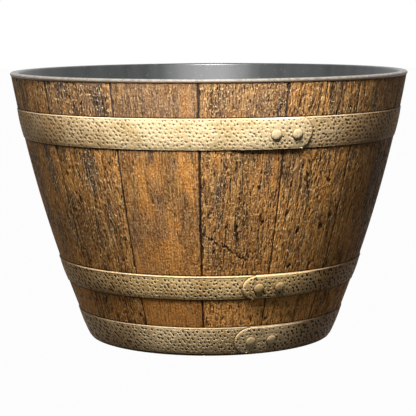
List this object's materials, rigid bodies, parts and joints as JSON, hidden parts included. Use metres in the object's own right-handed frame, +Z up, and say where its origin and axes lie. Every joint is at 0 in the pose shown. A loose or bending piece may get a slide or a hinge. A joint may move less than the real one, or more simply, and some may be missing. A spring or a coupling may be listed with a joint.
{
  "type": "barrel planter",
  "caption": "Coopered half-barrel planter: bowed staves held by riveted hoops round a boarded head, with a lift-out liner.",
  "frame": {"origin": "centre of the foot, on the floor", "axes": "+Z up along the tub's axis; the riveted hoop laps face -Y; +X is to the right as the picture shows it"},
  "size_m": [0.52, 0.5198, 0.3482],
  "materials": {
    "stave_wood": "brown-stained, deeply grained, worn, satin",
    "head_wood": "plain sawn, matte",
    "dowel_wood": "turned, matte",
    "hoop_metal": "hammered, antique, satin",
    "rivet_metal": "domed, antique, satin",
    "liner_plastic": "dark grey, semi-matte, lip worn pale"
  },
  "bodies": {
    "tub": {"stave_01": "stave_wood", "stave_02": "stave_wood", "stave_03": "stave_wood", "stave_04": "stave_wood", "stave_05": "stave_wood", "stave_06": "stave_wood", "stave_07": "stave_wood", "stave_08": "stave_wood", "stave_09": "stave_wood", "stave_10": "stave_wood", "stave_11": "stave_wood", "stave_12": "stave_wood", "stave_13": "stave_wood", "stave_14": "stave_wood", "stave_15": "stave_wood", "head_board_1": "head_wood", "head_board_2": "head_wood", "head_board_3": "head_wood", "head_board_4": "head_wood", "head_board_5": "head_wood", "head_dowels": "dowel_wood", "bottom_hoop": "hoop_metal", "middle_hoop": "hoop_metal", "top_hoop": "hoop_metal", "bottom_hoop_rivets": "rivet_metal", "middle_hoop_rivets": "rivet_metal", "top_hoop_rivets": "rivet_metal"},
    "liner": {"liner": "liner_plastic"}
  },
  "joints": [
    {"name": "liner_lift", "type": "slide", "parent": "tub", "child": "liner", "axis": [0, 0, 1], "range_m": [0, 0.33]}
  ]
}
